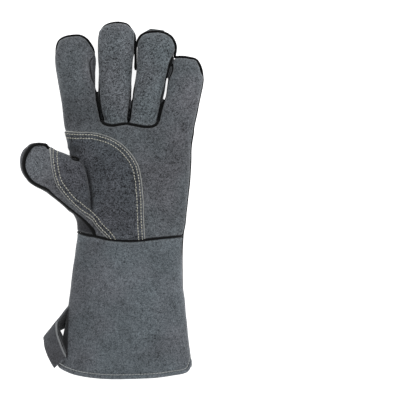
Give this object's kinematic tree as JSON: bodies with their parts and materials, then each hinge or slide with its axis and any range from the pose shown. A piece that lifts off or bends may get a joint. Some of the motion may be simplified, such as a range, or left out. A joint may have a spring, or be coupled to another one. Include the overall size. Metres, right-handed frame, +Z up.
{
  "type": "long leather work glove",
  "caption": "Left-hand suede work glove with a long flared cuff, black welted seams, a stitched palm and thumb patch, and a hang loop at the cuff; lying palm up.",
  "frame": {"origin": "the middle of the glove's plan outline, on the surface it lies on", "axes": "+Y from the cuff to the fingertips, -X to the thumb, +Z up out of the palm; the back of the hand rests on the surface"},
  "size_m": [0.1842, 0.3566, 0.0443],
  "materials": {
    "back_leather": "matte suede",
    "palm_leather": "matte suede",
    "front_leather": "matte suede",
    "thumb_leather": "matte suede",
    "cuff_leather": "matte suede",
    "patch_leather": "matte suede",
    "side_leather": "matte suede",
    "strap_leather": "matte suede",
    "welt_leather": "matte black leather strip"
  },
  "bodies": {
    "root": {"back_panel": "back_leather", "palm_panel": "palm_leather", "middle_finger_front": "front_leather", "ring_finger_front": "front_leather", "thumb_back": "thumb_leather", "cuff_front": "cuff_leather", "palm_patch": "patch_leather", "index_middle_side_wall": "side_leather", "middle_ring_side_wall": "side_leather", "ring_little_side_wall": "side_leather", "hang_loop": "strap_leather", "index_middle_welt": "welt_leather", "middle_ring_welt": "welt_leather", "ring_little_welt": "welt_leather", "thumb_side_welt": "welt_leather", "middle_tip_welt": "welt_leather", "ring_tip_welt": "welt_leather", "little_side_welt": "welt_leather", "cuff_seam_welt": "welt_leather", "thumb_welt": "welt_leather", "finger_base_welt": "welt_leather"}
  },
  "joints": []
}
